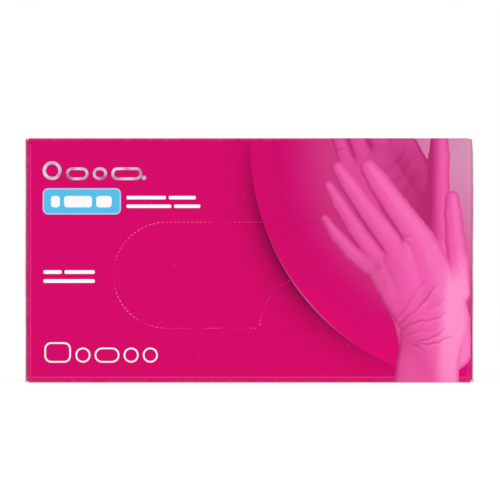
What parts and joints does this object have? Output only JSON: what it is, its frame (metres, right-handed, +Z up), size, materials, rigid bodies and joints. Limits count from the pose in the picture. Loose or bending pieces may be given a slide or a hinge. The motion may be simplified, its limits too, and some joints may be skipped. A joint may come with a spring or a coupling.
{
  "type": "glove dispenser carton",
  "caption": "Folded paperboard carton with a tear-out dispensing panel, thumb tab and hinged end flaps, holding a flat stack of disposable gloves.",
  "frame": {"origin": "centre of the base", "axes": "+X to the right along the length, seen from the dispensing face; +Y from the dispensing face to the back; +Z up"},
  "size_m": [0.22, 0.065, 0.12],
  "materials": {
    "printed_board": "offset printed in magenta with a satin varnish",
    "glove_nitrile": "matt pink nitrile film"
  },
  "bodies": {
    "carton": {"front_panel": "printed_board", "back_panel": "printed_board", "top_panel": "printed_board", "bottom_panel": "printed_board", "glue_flap": "printed_board", "glove_bundle_01": "glove_nitrile", "glove_bundle_02": "glove_nitrile", "glove_bundle_03": "glove_nitrile", "glove_bundle_04": "glove_nitrile", "glove_bundle_05": "glove_nitrile", "glove_bundle_06": "glove_nitrile", "glove_bundle_07": "glove_nitrile", "glove_bundle_08": "glove_nitrile", "glove_bundle_09": "glove_nitrile", "glove_bundle_10": "glove_nitrile", "glove_bundle_11": "glove_nitrile", "glove_bundle_12": "glove_nitrile", "glove_bundle_13": "glove_nitrile", "glove_bundle_14": "glove_nitrile", "glove_bundle_15": "glove_nitrile", "glove_bundle_16": "glove_nitrile", "glove_bundle_17": "glove_nitrile", "glove_bundle_18": "glove_nitrile", "glove_bundle_19": "glove_nitrile", "glove_bundle_20": "glove_nitrile"},
    "dispensing_panel": {"dispensing_panel": "printed_board"},
    "thumb_tab": {"thumb_tab": "printed_board"},
    "left_outer_flap": {"left_outer_flap": "printed_board"},
    "left_inner_flap": {"left_inner_flap": "printed_board"},
    "left_top_dust_flap": {"left_top_dust_flap": "printed_board"},
    "left_bottom_dust_flap": {"left_bottom_dust_flap": "printed_board"},
    "right_outer_flap": {"right_outer_flap": "printed_board"},
    "right_inner_flap": {"right_inner_flap": "printed_board"},
    "right_top_dust_flap": {"right_top_dust_flap": "printed_board"},
    "right_bottom_dust_flap": {"right_bottom_dust_flap": "printed_board"}
  },
  "joints": [
    {"name": "dispensing_panel_tear", "type": "hinge", "parent": "carton", "child": "dispensing_panel", "pos_m": [0, -0.0325, 0.079], "axis": [-1, 0, 0], "range_deg": [0, 110]},
    {"name": "thumb_tab_fold", "type": "hinge", "parent": "carton", "child": "thumb_tab", "pos_m": [0.0315, -0.0325, 0.0265], "axis": [1, 0, 0], "range_deg": [-25, 110]},
    {"name": "left_outer_flap_fold", "type": "hinge", "parent": "carton", "child": "left_outer_flap", "pos_m": [-0.1095, 0.0325, 0.06], "axis": [0, 0, -1], "range_deg": [0, 150]},
    {"name": "left_inner_flap_fold", "type": "hinge", "parent": "carton", "child": "left_inner_flap", "pos_m": [-0.1087, -0.0325, 0.06], "axis": [0, 0, 1], "range_deg": [0, 150]},
    {"name": "left_top_dust_flap_fold", "type": "hinge", "parent": "carton", "child": "left_top_dust_flap", "pos_m": [-0.1079, 0, 0.12], "axis": [0, 1, 0], "range_deg": [0, 90]},
    {"name": "left_bottom_dust_flap_fold", "type": "hinge", "parent": "carton", "child": "left_bottom_dust_flap", "pos_m": [-0.1079, 0, 0], "axis": [0, -1, 0], "range_deg": [0, 90]},
    {"name": "right_outer_flap_fold", "type": "hinge", "parent": "carton", "child": "right_outer_flap", "pos_m": [0.1095, 0.0325, 0.06], "axis": [0, 0, 1], "range_deg": [0, 150]},
    {"name": "right_inner_flap_fold", "type": "hinge", "parent": "carton", "child": "right_inner_flap", "pos_m": [0.1087, -0.0325, 0.06], "axis": [0, 0, -1], "range_deg": [0, 150]},
    {"name": "right_top_dust_flap_fold", "type": "hinge", "parent": "carton", "child": "right_top_dust_flap", "pos_m": [0.1079, 0, 0.12], "axis": [0, -1, 0], "range_deg": [0, 90]},
    {"name": "right_bottom_dust_flap_fold", "type": "hinge", "parent": "carton", "child": "right_bottom_dust_flap", "pos_m": [0.1079, 0, 0], "axis": [0, 1, 0], "range_deg": [0, 90]}
  ],
  "couplings": [
    {"joint": "left_inner_flap_fold", "follows": "left_outer_flap_fold", "ratio": 1},
    {"joint": "left_top_dust_flap_fold", "follows": "left_outer_flap_fold", "ratio": 0.6},
    {"joint": "left_bottom_dust_flap_fold", "follows": "left_outer_flap_fold", "ratio": 0.6},
    {"joint": "right_inner_flap_fold", "follows": "right_outer_flap_fold", "ratio": 1},
    {"joint": "right_top_dust_flap_fold", "follows": "right_outer_flap_fold", "ratio": 0.6},
    {"joint": "right_bottom_dust_flap_fold", "follows": "right_outer_flap_fold", "ratio": 0.6}
  ]
}
